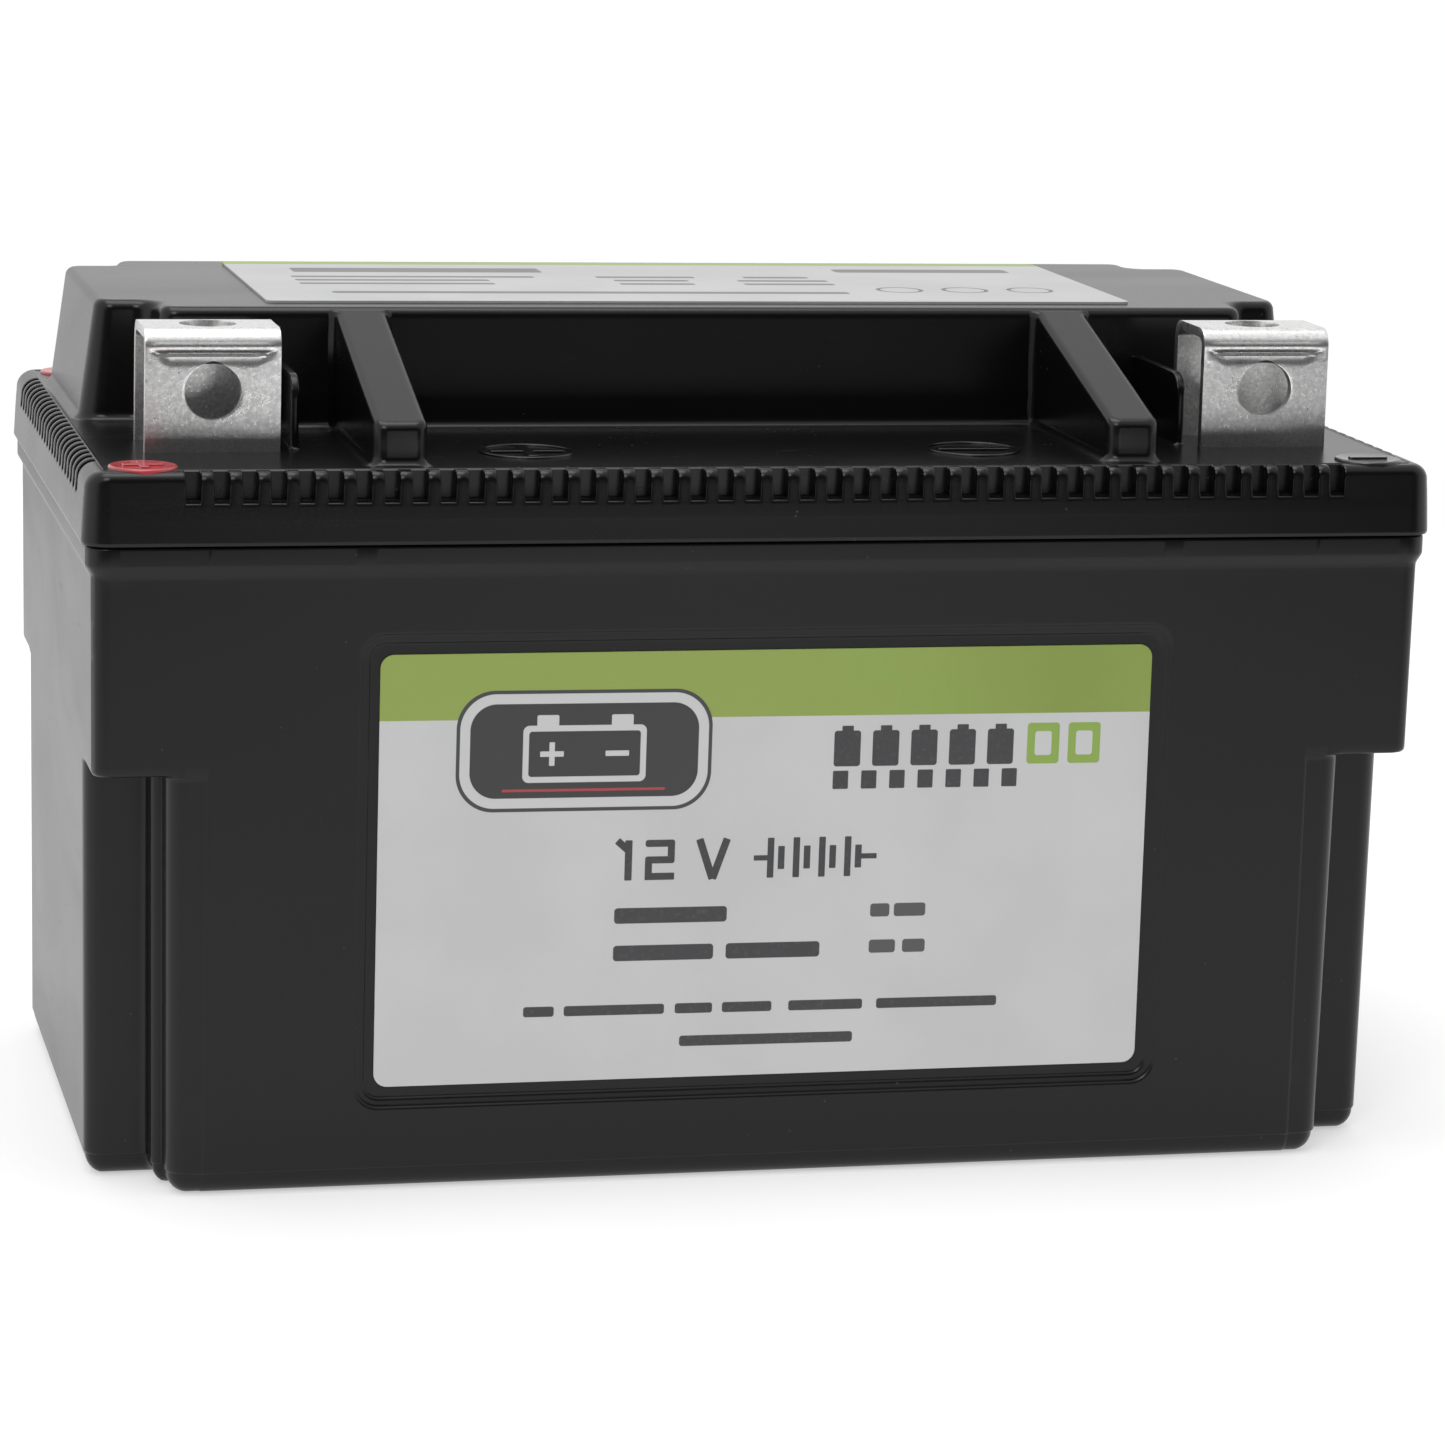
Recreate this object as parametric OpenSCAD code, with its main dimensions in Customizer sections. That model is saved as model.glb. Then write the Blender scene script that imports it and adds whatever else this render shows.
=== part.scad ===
// Sealed lithium motorcycle battery: notched container, comb-edged lid with a raised rear
// block, two U-shaped clamp terminals, and the four-cell pack that the case holds.
// Millimetres. +X runs to the right along the long side, -Y is the labelled front, Z is up.

/* [Case] */
// Overall length at the lid skirt
case_l = 150; // [140:1:170]
// Overall width at the lid skirt
case_w = 87; // [84:1:92]
// Overall height, floor to top label
case_h = 93; // [90:1:110]
// Height of the seam between container and lid
seam_z = 71.3; // [69:0.1:73]
// Wall thickness of container and lid
wall = 2.2; // [1.8:0.1:2.4]
// Radius of the upright case corners
corner_r = 3; // [2:0.5:4]
// Radius along the bottom edges
foot_r = 3.1; // [2:0.1:4]

/* [Corner notches] */
// Height of the ledge above the corner notches
ledge_z = 46.4; // [40:0.1:52]
// Depth of each notch from the front or rear face
notch_y = 8.9; // [6:0.1:11]
// Width of each notch from the end face
notch_x = 8.1; // [6:0.1:10]
// Width of the narrow step halfway into the notch
notch_step = 1.2; // [0.8:0.1:2]

/* [Lid] */
// Height of the lid deck
deck_z = 79.2; // [78:0.1:81]
// Pitch of the comb slots
comb_pitch = 3.02; // [2.9:0.01:3.1]
// Width of one comb slot
comb_slot = 1.6; // [1:0.1:2]
// Height of the comb slots below the deck
comb_drop = 3.3; // [2:0.1:4]
// Slots along each long side
comb_long = 43; // [11:2:43]
// Slots along each end
comb_end = 23; // [11:2:23]
// Front face of the raised block
hump_front = -10; // [-12:0.5:-6]
// Width of the two sloping deck ribs
rib_w = 5.8; // [4:0.1:7]
// Distance of the ribs from the middle
rib_x = 40.8; // [36:0.1:44]

/* [Terminals] */
// Distance of the terminals from the middle
term_x = 59.6; // [58:0.1:60]
// Width of a terminal
term_w = 14.7; // [12:0.1:15]
// Front face of a terminal
term_front = -28.3; // [-29:0.1:-27]
// Depth of a terminal, front plate to rear plate
term_d = 10.8; // [10:0.1:11]
// Height of a terminal above the deck
term_h = 13.4; // [13:0.1:13.5]
// Thickness of the terminal plate
term_t = 1.1; // [0.8:0.1:1.2]
// Diameter of the bolt holes
bolt_d = 6.2; // [5:0.1:6.6]

/* [Labels] */
// Length of the front label
label_l = 86.2; // [60:0.1:90]
// Height of the front label
label_h = 47.7; // [30:0.1:50]
// Depth of the label recess
recess = 0.5; // [0.3:0.1:0.8]

/* [Cell pack] */
// Length of a cell
cell_l = 116; // [100:1:118]
// Thickness of a cell
cell_t = 16; // [12:0.5:16]
// Height of a cell
cell_h = 57; // [50:1:58]
// Thickness of the foam between cells
foam_t = 1; // [0.5:0.1:1]

/* [Hidden] */
$fn = 48;
eps = 0.01;
hx = case_l / 2;
hy = case_w / 2;
hump_z = case_h - 0.25;
cell_z = 4.6;
cell_pitch = cell_t + foam_t;
cell_top = cell_z + cell_h;
tab_x = 38;
bus_z = cell_top + 4.4;
board_z = 71.5;
term_back = term_front + term_d;
disc_x = hx - 6.7;
disc_y = hy - 4.5;
disc_h = 0.3;         // polarity disc above the deck
side_in = 1.06;      // container wall, in from the skirt at the seam
collar_in = 0.45;    // collar band, in from the skirt
draft = 0.0089;      // draft of the container walls

// ---------- shared shapes ----------

// points of a circular arc about [cx, cy], from angle a0 to a1
function arc(cx, cy, r, a0, a1, n = 6) =
  [for (i = [0:n]) let (a = a0 + (a1 - a0) * i / n) [cx + r * cos(a), cy + r * sin(a)]];

// mirror a list of [inset, z] points into a closed outline of half-width h
function outline(h, prof, k = 1) = concat(
  [for (p = prof) [h - p[0] * k, p[1]]],
  [for (i = [len(prof) - 1:-1:0]) [-h + prof[i][0] * k, prof[i][1]]]);

module round_rect(x, y, r) {
  square([2 * x - 2 * r, 2 * y], center = true);
  square([2 * x, 2 * y - 2 * r], center = true);
  for (i = [-1, 1], j = [-1, 1]) translate([i * (x - r), j * (y - r)]) circle(r);
}

// block whose side walls follow a list of [inset, z] points on all four sides
module block(x, y, r, prof, kx = 1) {
  top = prof[len(prof) - 1][1];
  intersection() {
    translate([0, 0, prof[0][1]]) linear_extrude(top - prof[0][1]) round_rect(x, y, r);
    rotate([90, 0, 0]) linear_extrude(2 * y + 2, center = true) polygon(outline(x, prof, kx));
    rotate([90, 0, 90]) linear_extrude(2 * x + 2, center = true) polygon(outline(y, prof));
  }
}

module both_ends() { for (s = [-1, 1]) scale([1, 1, 1]) translate([s * term_x, 0, 0]) children(); }

// a box given by its two opposite corners
module span(a, b) { translate(a) cube(b - a); }

// a round wire through a list of points
module wire(pts, r) {
  for (i = [0:len(pts) - 2]) {
    d = pts[i + 1] - pts[i];
    translate(pts[i]) rotate([0, acos(d[2] / norm(d)), atan2(d[1], d[0])]) cylinder(h = norm(d), r = r, $fn = 16);
  }
  for (i = [1:len(pts) - 2]) translate(pts[i]) sphere(r * 1.12, $fn = 16);
}

module plus_mark(size, w, h) {
  span([-size / 2, -w / 2, 0], [size / 2, w / 2, h]);
  span([-w / 2, -size / 2, 0], [w / 2, size / 2, h]);
}
module minus_mark(size, w, h) { span([-size / 2, -w / 2, 0], [size / 2, w / 2, h]); }

// ---------- case ----------

function wall_in(z) = side_in + (seam_z - z) * draft;
foot = concat(arc(wall_in(foot_r) + foot_r, foot_r, foot_r, 270, 180), [[wall_in(ledge_z), ledge_z]]);
upper = [[wall_in(ledge_z - 1) + 1, ledge_z], [wall_in(ledge_z), ledge_z + 1],
  [wall_in(seam_z - 3.1), seam_z - 3.1], [collar_in, seam_z - 2.1], [collar_in, seam_z]];
// stepped plan of the part below the ledge: [half length, half width] of three blocks
steps = [[hx, hy - notch_y], [hx - notch_x + 1.4, hy - notch_y / 2], [hx - notch_x + 1.4 - notch_step, hy]];

module container_solid(t) {
  // the solid outside of the container, or with t > 0 the hollow inside it
  for (s = steps) block(s[0] - t, s[1] - t, corner_r * 0.6,
    t == 0 ? foot : [[wall_in(0) + 0.3, wall * 1.1], [wall_in(ledge_z), ledge_z + 1]]);
  translate([0, 0, t == 0 ? 0 : t]) block(hx - t, hy - t, max(corner_r - t, 0.8),
    t == 0 ? upper : [[wall_in(ledge_z), ledge_z - eps], [side_in, seam_z + 1]]);
}

module container() {
  color([0.13, 0.13, 0.135]) difference() {
    container_solid(0);
    container_solid(wall);
    // label recess on the front, and a plain one on the rear
    for (a = [0, 180]) rotate([0, 0, a]) translate([0, -hy + wall_in(35.4) + recess, 35.4])
      rotate([90 + atan(draft), 0, 0]) linear_extrude(5) round_rect(45.2, 26.1, 2.7);
  }
}

module comb_plan() {
  for (s = [-1, 1]) {
    for (i = [0:comb_long - 1]) translate([(i - (comb_long - 1) / 2) * comb_pitch, s * hy])
      square([comb_slot, 2 * 2.1], center = true);
    for (i = [0:comb_end - 1]) translate([s * hx, (i - (comb_end - 1) / 2) * comb_pitch])
      square([2 * 2.1, comb_slot], center = true);
  }
}

lid_prof = concat([[0, seam_z], [0.35, deck_z - 1.1]], arc(1.45, deck_z - 1.1, 1.1, 180, 90));
lid_in = [[0, seam_z - 1], [0, seam_z + 2.6], [1.8, seam_z + 4.4], [1.8, deck_z - wall]];
hump_prof = concat([[0, deck_z - 1], [0.6, hump_z - 0.9]], arc(1.5, hump_z - 0.9, 0.9, 180, 90));
hump_back = 40.4;
hump_mid = (hump_front + hump_back) / 2;
hump_hy = (hump_back - hump_front) / 2;

module hump(t) {
  z0 = t == 0 ? hump_prof : [[0, deck_z - wall - 1], [0.6, hump_z - t]];
  translate([0, hump_mid, 0]) block(63.8 - t, hump_hy - t, max(1.2 - t, 0.4), z0);
  translate([0, hump_mid + 0.5, 0]) block(71.3 - t, hump_hy - 6.1 - t, max(2.4 - t, 0.4), z0, 2.6);
}

module rib() {
  // sloping rib from the top of the raised block down to the front of the deck
  rotate([90, 0, 90]) linear_extrude(rib_w, center = true) polygon(concat(
    [[hump_front + 1.5, deck_z - 1], [hump_front + 1.5, hump_z - 0.9], [hump_front + 0.7, hump_z - 0.8]],
    arc(-38.2, deck_z + 3.9, 1.2, 74, 180), [[-39.8, deck_z - 1]]));
}

module fin() {
  rotate([90, 0, 90]) linear_extrude(0.9, center = true) polygon(concat(
    [[hump_front + 1, deck_z - 1], [hump_front + 1, deck_z + 8.1]],
    arc(-23.7, deck_z + 5.6, 2.5, 90, 180), [[-26.4, deck_z - 1]]));
}

module deck_mark(x) {
  translate([x, -29.3, deck_z - eps]) {
    difference() { cylinder(h = 0.26, r = 5.3); translate([0, 0, -1]) cylinder(h = 3, r = 4.9); }
    children();
  }
}

module lid() {
  color([0.14, 0.14, 0.145]) difference() {
    union() {
      block(hx, hy, corner_r, lid_prof);
      hump(0);
      for (s = [-1, 1]) {
        translate([s * rib_x, 0, 0]) rib();
        translate([s * 50.4, 0, 0]) fin();
      }
      deck_mark(-25.3) plus_mark(8.3, 1.2, 0.26);
      deck_mark(25.3) minus_mark(8.3, 1.2, 0.26);
    }
    difference() {
      block(hx - wall, hy - wall, 0.8, lid_in);
    }
    hump(wall);
    translate([0, 0, deck_z - comb_drop]) linear_extrude(10) comb_plan();
    // slots that the terminal tails pass through
    for (s = [-1, 1]) span([s * term_x - term_w / 2 - 0.15, term_back - term_t - 0.15, deck_z - 5],
      [s * term_x + term_w / 2 + 0.15, term_back + 0.15, deck_z + 1]);
  }
}

module seam_ring() {
  // locating ring bonded inside the seam
  color([0.2, 0.2, 0.21]) difference() {
    translate([0, 0, seam_z - 1.6]) linear_extrude(3.4) round_rect(hx - wall - 1.2, hy - wall - 1.2, 1);
    translate([0, 0, seam_z - 2]) linear_extrude(5) round_rect(hx - wall - 2.4, hy - wall - 2.4, 0.6);
  }
}

module front_label() {
  color([0.55, 0.64, 0.35]) translate([0, -hy + wall_in(35.4) + recess, 35.4]) rotate([90 + atan(draft), 0, 0])
    linear_extrude(0.2) round_rect(label_l / 2, label_h / 2, 1.5);
}

module top_label() {
  color([0.75, 0.75, 0.75]) translate([0, 15.6, hump_z]) linear_extrude(0.25) round_rect(50.7, 20.5, 1);
}

module disc_base() { translate([0, 0, deck_z]) cylinder(h = disc_h, r = 3.7); }

module positive_discs() {
  color([0.73, 0.18, 0.22]) for (s = [-1, 1]) translate([-disc_x, s * disc_y, 0]) {
    disc_base();
    translate([0, 0, deck_z + disc_h]) plus_mark(4.4, 1, 0.15);
  }
}

module negative_discs() {
  color([0.12, 0.12, 0.12]) for (s = [-1, 1]) translate([disc_x, s * disc_y, 0]) {
    disc_base();
    translate([0, 0, deck_z + disc_h]) minus_mark(4.4, 1, 0.15);
  }
}

// ---------- terminals ----------

module terminal() {
  // folded plate: front plate on the deck, top plate, rear plate that runs on through the lid
  y0 = term_front; y1 = term_back; z1 = deck_z + term_h; ro = 2; ri = ro - term_t; tail = deck_z - 9.4;
  color([0.72, 0.72, 0.7]) difference() {
    rotate([90, 0, 90]) linear_extrude(term_w, center = true) difference() {
      union() {
        translate([y0, tail]) square([y1 - y0, z1 - ro - tail]);
        translate([y0 + ro, z1 - 2 * ro]) square([y1 - y0 - 2 * ro, 2 * ro]);
        for (y = [y0 + ro, y1 - ro]) translate([y, z1 - ro]) circle(ro);
      }
      translate([y0 + term_t, tail - 1]) square([y1 - y0 - 2 * term_t, z1 - ro - tail + 1]);
      translate([y0 + ro, z1 - 2 * ro]) square([y1 - y0 - 2 * ro, 2 * ro - term_t]);
      for (y = [y0 + ro, y1 - ro]) translate([y, z1 - ro]) circle(ri);
      translate([y0 - 1, tail - 1]) square([term_t + 1.5, 9.4 + 1]);
    }
    translate([0, y0 - 1, deck_z + 6.6]) rotate([-90, 0, 0]) cylinder(h = term_t + 2, d = bolt_d);
    translate([0, (y0 + y1) / 2, z1 - term_t - 1]) cylinder(h = term_t + 2, d = bolt_d);
    translate([0, y1 + 1, deck_z - 6.4]) rotate([90, 0, 0]) cylinder(h = term_t + 2, d = 4.2);
  }
}
module terminal_positive() { translate([-term_x, 0, 0]) terminal(); }
module terminal_negative() { translate([term_x, 0, 0]) terminal(); }

module terminal_seal() {
  color([0.55, 0.33, 0.2]) difference() {
    span([-term_w / 2 - 1.4, term_back - term_t - 1.6, deck_z - wall - 1.5],
      [term_w / 2 + 1.4, term_back + 1.6, deck_z - wall]);
    span([-term_w / 2 - 0.05, term_back - term_t - 0.05, 0], [term_w / 2 + 0.05, term_back + 0.05, 90]);
  }
}
module terminal_seal_positive() { translate([-term_x, 0, 0]) terminal_seal(); }
module terminal_seal_negative() { translate([term_x, 0, 0]) terminal_seal(); }

// ---------- cell pack ----------

function cell_y(k) = (k - 2.5) * cell_pitch;
// +1 where the cell's positive tab is on the right, -1 where it is on the left
function pole(k) = k % 2 == 1 ? -1 : 1;

module cell(k) {
  color([0.62, 0.65, 0.68]) translate([0, cell_y(k), cell_z]) {
    translate([0, 0, 0]) rotate([0, 0, 0]) linear_extrude(cell_h) round_rect(cell_l / 2, cell_t / 2, 2);
  }
}
module cell_1() { cell(1); }
module cell_2() { cell(2); }
module cell_3() { cell(3); }
module cell_4() { cell(4); }

module tab(x, y) { span([x - 8, y - 0.4, cell_top], [x + 8, y + 0.4, bus_z]); }
module cell_tabs_positive() { color([0.8, 0.8, 0.82]) for (k = [1:4]) tab(pole(k) * tab_x, cell_y(k)); }
module cell_tabs_negative() { color([0.72, 0.45, 0.3]) for (k = [1:4]) tab(-pole(k) * tab_x, cell_y(k)); }

module cell_foam() {
  color([0.9, 0.88, 0.8]) {
    for (k = [1:3]) translate([0, cell_y(k) + cell_pitch / 2, cell_z + 2])
      span([-54, -foam_t / 2, 0], [54, foam_t / 2, cell_h - 4]);
    for (s = [-1, 1]) span([-54, s > 0 ? cell_y(4) + cell_t / 2 + 0.3 : -hy + wall_in(0) + wall + 0.5, cell_z + 2],
      [54, s > 0 ? hy - wall_in(0) - wall - 0.5 : cell_y(1) - cell_t / 2 - 0.3, cell_top - 4]);
  }
}
module floor_pad() { color([0.25, 0.25, 0.27]) span([-56, -33, wall * 1.1], [56, 33, cell_z - 0.25]); }
module side_pads() {
  color([0.25, 0.25, 0.27]) for (s = [-1, 1])
    translate([s * (cell_l / 2 + 3.2), 0, cell_z + 1]) span([-2.9, -26, 0], [2.9, 26, cell_h - 6]);
}
module tape_bands() {
  w = 2 * cell_pitch - foam_t / 2;
  color([0.85, 0.82, 0.55]) for (x = [-18, 18]) translate([x, 0, 0]) difference() {
    span([-6, -w - 0.25, cell_z - 0.2], [6, w + 0.25, cell_top + 0.2]);
    span([-7, -w, cell_z], [7, w, cell_top]);
  }
}

module busbar_frame() {
  // moulded frame on top of the cells with a slot for each tab and four board posts
  color([0.16, 0.3, 0.42]) difference() {
    union() {
      span([-52, -33, cell_top + 0.4], [52, 33, bus_z - 1.2]);
      for (x = [-24, 24], y = [2, 28]) translate([x, y, bus_z - 1.3]) cylinder(h = board_z - bus_z + 1.3, r = 2.6);
    }
    for (k = [1:4], s = [-1, 1]) span([s * tab_x - 8.6, cell_y(k) - 1, 0], [s * tab_x + 8.6, cell_y(k) + 1, 80]);
    span([-26, -27, 0], [26, -3, 80]);
    for (x = [-24, 24], y = [2, 28]) translate([x, y, board_z - 5]) cylinder(h = 6, r = 1);
  }
}

module busbar(k) {
  // joins cell k's negative tab to the next cell's positive tab
  x = -pole(k) * tab_x;
  color([0.78, 0.5, 0.32]) difference() {
    span([x - 7.5, cell_y(k) - 3.5, bus_z], [x + 7.5, cell_y(k + 1) + 3.5, bus_z + 1]);
    for (j = [k, k + 1], i = [-1, 1]) translate([x + i * 4, cell_y(j) + 2.2, bus_z - 1]) cylinder(h = 3, r = 0.8);
    translate([x, (cell_y(k) + cell_y(k + 1)) / 2, bus_z - 1]) cylinder(h = 3, r = 1.1);
  }
}
module busbar_1_2() { busbar(1); }
module busbar_2_3() { busbar(2); }
module busbar_3_4() { busbar(3); }

module positive_lead() {
  // strap from cell 1 up to the tail of the left terminal
  y = term_back + 0.05; y1 = cell_y(1);
  color([0.78, 0.5, 0.32]) difference() {
    union() {
      span([-tab_x - 7.5, y1 - 3.5, bus_z], [-tab_x + 7.5, y + 1, bus_z + 1]);
      span([-term_x - 5, y - 4, bus_z], [-tab_x - 7.4, y + 1, bus_z + 1]);
      span([-term_x - 5, y, bus_z], [-term_x + 5, y + 1, deck_z - 3.9]);
    }
    translate([-term_x, y + 4, deck_z - 6.4]) rotate([90, 0, 0]) cylinder(h = 6, d = 4.2);
  }
}

module negative_lead() {
  // strap from cell 4 along the back, then forward to the tail of the right terminal
  y = term_back + 0.05; y4 = cell_y(4);
  color([0.78, 0.5, 0.32]) difference() {
    union() {
      span([-tab_x - 7.5, y4 - 1, bus_z], [-tab_x + 7.5, 33.6, bus_z + 1]);
      span([-tab_x - 7.5, 30.2, bus_z], [term_x + 5, 33.6, bus_z + 1]);
      span([term_x - 5, y, bus_z], [term_x + 5, 33.6, bus_z + 1]);
      span([term_x - 5, y, bus_z], [term_x + 5, y + 1, deck_z - 3.9]);
    }
    translate([term_x, y + 4, deck_z - 6.4]) rotate([90, 0, 0]) cylinder(h = 6, d = 4.2);
  }
}

module lead_screws() {
  // screw and nut that clamp each lead to its terminal tail
  color([0.6, 0.6, 0.62]) for (s = [-1, 1]) translate([s * term_x, 0, deck_z - 6.4]) {
    translate([0, term_back - term_t - 1.9, 0]) rotate([-90, 0, 0]) cylinder(h = 1.85, r = 3.3);
    translate([0, term_back - term_t - 0.2, 0]) rotate([-90, 0, 0]) cylinder(h = 6, r = 1.95);
    translate([0, term_back + 1.1, 0]) rotate([-90, 0, 0]) cylinder(h = 2.4, r = 3.6, $fn = 6);
  }
}

// ---------- balance and control board ----------

module control_board() {
  color([0.1, 0.36, 0.2]) difference() {
    translate([0, 15, board_z]) linear_extrude(1.6) round_rect(29, 17, 1.5);
    for (x = [-24, 24], y = [2, 28]) translate([x, y, board_z - 1]) cylinder(h = 4, r = 1.6);
  }
}
module power_transistors() {
  color([0.12, 0.12, 0.13]) for (i = [0:5]) translate([-17 + i * 6.8, 24, board_z + 1.6]) {
    span([-2.6, -3.1, 0.1], [2.6, 3.1, 1.9]);
    for (j = [-1.5:1:1.5]) span([j - 0.25, -4.3, 0], [j + 0.25, -3, 0.3]);
  }
}
module board_capacitors() {
  color([0.15, 0.2, 0.45]) for (x = [-14, -4]) translate([x, 13, board_z + 1.6]) {
    cylinder(h = 7.4, r = 3.1);
    cylinder(h = 0.9, r = 3.4);
  }
}
module balance_plug() {
  color([0.93, 0.91, 0.84]) translate([12, 2.4, board_z + 1.6]) difference() {
    span([-7.5, -3, 0], [7.5, 3, 6.2]);
    span([-6.5, -2.1, 1.2], [6.5, 2.1, 7]);
  }
}
module balance_wires() {
  // five sense wires: each leaves a joint of the pack, rises inside the raised block at its own
  // height, and drops into the plug; the farther pin always takes the higher run
  starts = [[-tab_x, cell_y(1) + 7, -5.5], [tab_x, cell_y(1) + 8.5, -5.5], [-tab_x, 3, 3],
    [tab_x, cell_y(3) + 8.5, 17], [-tab_x, 31.5, 31.5]];
  pins = [7.2, 16.8, 9.6, 14.4, 12];
  rise = [81, 81, 82.5, 82.5, 84];
  color([0.8, 0.1, 0.1]) for (i = [0:4]) {
    a = [starts[i][0], starts[i][1], bus_z + 1.02];
    b = [a[0], starts[i][2], bus_z + 2.9];
    top = [a[0], starts[i][2], rise[i]];
    over = [pins[i], 2.4, rise[i]];
    foot_pt = [pins[i], 2.4, board_z + 3.1];
    if (norm([a[0] - b[0], a[1] - b[1]]) > 1) wire([a, [a[0], a[1], b[2]], b, top, over, foot_pt], 0.55);
    else wire([a, top, over, foot_pt], 0.55);
  }
}
module board_screws() {
  color([0.65, 0.65, 0.67]) for (x = [-24, 24], y = [2, 28]) translate([x, y, board_z]) {
    translate([0, 0, -4]) cylinder(h = 5.6, r = 0.95);
    translate([0, 0, 1.6]) cylinder(h = 1.3, r = 2.1);
  }
}

container();
lid();
seam_ring();
front_label();
top_label();
terminal_positive();
terminal_negative();
terminal_seal_positive();
terminal_seal_negative();
positive_discs();
negative_discs();
cell_1();
cell_2();
cell_3();
cell_4();
cell_tabs_positive();
cell_tabs_negative();
cell_foam();
floor_pad();
side_pads();
tape_bands();
busbar_frame();
busbar_1_2();
busbar_2_3();
busbar_3_4();
positive_lead();
negative_lead();
lead_screws();
control_board();
power_transistors();
board_capacitors();
balance_plug();
balance_wires();
board_screws();
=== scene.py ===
"""Sealed lithium motorcycle battery. Shapes are worked out in millimetres, in the part's own frame,
and turned to metres as each mesh is made. X runs along the case, -Y is the labelled front, Z is up."""
import math
import bmesh
import bpy
import numpy as np
from mathutils import Matrix, Vector


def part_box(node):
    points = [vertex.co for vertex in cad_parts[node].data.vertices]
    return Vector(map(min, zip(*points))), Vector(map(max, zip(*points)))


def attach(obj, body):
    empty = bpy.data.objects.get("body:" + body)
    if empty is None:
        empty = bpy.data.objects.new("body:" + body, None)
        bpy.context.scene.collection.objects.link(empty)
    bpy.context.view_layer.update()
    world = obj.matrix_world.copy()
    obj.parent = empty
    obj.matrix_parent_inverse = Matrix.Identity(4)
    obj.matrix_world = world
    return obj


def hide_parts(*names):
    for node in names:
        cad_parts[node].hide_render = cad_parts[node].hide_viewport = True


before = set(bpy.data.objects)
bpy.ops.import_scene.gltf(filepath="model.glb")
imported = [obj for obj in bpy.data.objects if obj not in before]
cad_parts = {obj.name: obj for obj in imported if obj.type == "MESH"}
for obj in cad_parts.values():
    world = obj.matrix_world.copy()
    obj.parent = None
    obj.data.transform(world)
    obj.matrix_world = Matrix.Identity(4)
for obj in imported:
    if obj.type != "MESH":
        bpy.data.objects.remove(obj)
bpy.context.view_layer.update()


def sides(node):
    """Lowest and highest corner of a CAD node, in millimetres."""
    return [np.array(corner) * 1000 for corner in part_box(node)]


lid_high, case_high = sides("lid")[1], sides("container")[1]
HX, HY = lid_high[0], lid_high[1]          # half length and half width at the skirt
SEAM, RAISED = case_high[2], lid_high[2]   # joint between container and lid, top of the raised block
DECK = sides("negative_discs")[0][2]       # flat part of the lid
LEDGE, FOOT = 46.4, 2.3                    # height of the case's ledge, radius of its bottom edge
WALL = 2.2                                 # thickness of the case and of the lid
BLOCK_Y = 15.2                             # middle of the raised block
SUNK = 0.3                                 # how deep things that stand on the deck reach into it
ARC = 8                                    # steps of every rounded corner
CORNER = 3.0                               # radius of the skirt's upright corners


# ---------- surfaces ----------

def rounded(corners, radius, inset=0.0, stations=None, share=0.49):
    """Closed outline. Every edge of the polygon moves in by the inset, and every corner becomes an arc:
    centre - r * n, with n turning from one edge's inward normal to the next. A corner that turns the other
    way has its centre outside. Stations are extra points on an edge, measured from the edge's middle. A corner
    takes no more than its share of the shorter edge beside it."""
    c = np.asarray(corners, float)
    along = np.roll(c, -1, 0) - c
    along /= np.linalg.norm(along, axis=1)[:, None]
    inward = np.stack([-along[:, 1], along[:, 0]], 1)
    before, ahead = np.roll(inward, 1, 0), np.roll(along, 1, 0)
    dot = (before * inward).sum(1)
    turn = np.sign(ahead[:, 0] * along[:, 1] - ahead[:, 1] * along[:, 0])
    mitre = (before + inward) / (1 + dot)[:, None]
    p = c + inset * mitre
    length = np.linalg.norm(np.roll(p, -1, 0) - p, axis=1)
    r = np.where(turn > 0, np.maximum(radius - inset, 0.1), np.maximum(radius + inset, 0.02))
    r = np.minimum(r, share * np.minimum(length, np.roll(length, 1)))
    centre = p + (turn * r)[:, None] * mitre
    angle = np.arccos(np.clip(dot, -1, 1))[:, None]
    t = np.linspace(0, 1, ARC + 1)[None]
    w0, w1 = np.sin((1 - t) * angle) / np.sin(angle), np.sin(t * angle) / np.sin(angle)
    normal = w0[..., None] * before[:, None] + w1[..., None] * inward[:, None]
    arcs = centre[:, None] - (turn * r)[:, None, None] * normal
    points = []
    for i in range(len(c)):
        points.append(arcs[i])
        if stations is not None and len(stations[i]):
            middle = (c[i] + np.roll(c, -1, 0)[i]) / 2 + inset * inward[i]
            low, high = (arcs[i, -1] - middle) @ along[i], (arcs[(i + 1) % len(c), 0] - middle) @ along[i]
            s = np.clip(stations[i], low, high)
            points.append(middle + s[:, None] * along[i])
    return np.concatenate(points)


def level(outline, z):
    """An outline carried to one height."""
    return np.column_stack([outline, np.broadcast_to(z, len(outline))])


def loft(rings, around=True, closed=False):
    """Quads between rings of equally many points: ring k, point i joins ring k + 1, point i + 1."""
    rings = np.asarray(rings, float)
    k, n = rings.shape[:2]
    grid = np.arange(k * n).reshape(k, n)
    a = grid if closed else grid[:-1]
    b = np.roll(grid, -1, 0) if closed else grid[1:]
    if around:
        quads = np.stack([a, np.roll(a, -1, 1), np.roll(b, -1, 1), b], -1)
    else:
        quads = np.stack([a[:, :-1], a[:, 1:], b[:, 1:], b[:, :-1]], -1)
    return rings.reshape(-1, 3), quads.reshape(-1, 4)


def joined(*surfaces):
    """Several surfaces as one set of points and faces."""
    start = np.cumsum([0] + [len(s[0]) for s in surfaces[:-1]])
    points = np.concatenate([s[0] for s in surfaces])
    return points, np.concatenate([s[1] + first for s, first in zip(surfaces, start)])


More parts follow.
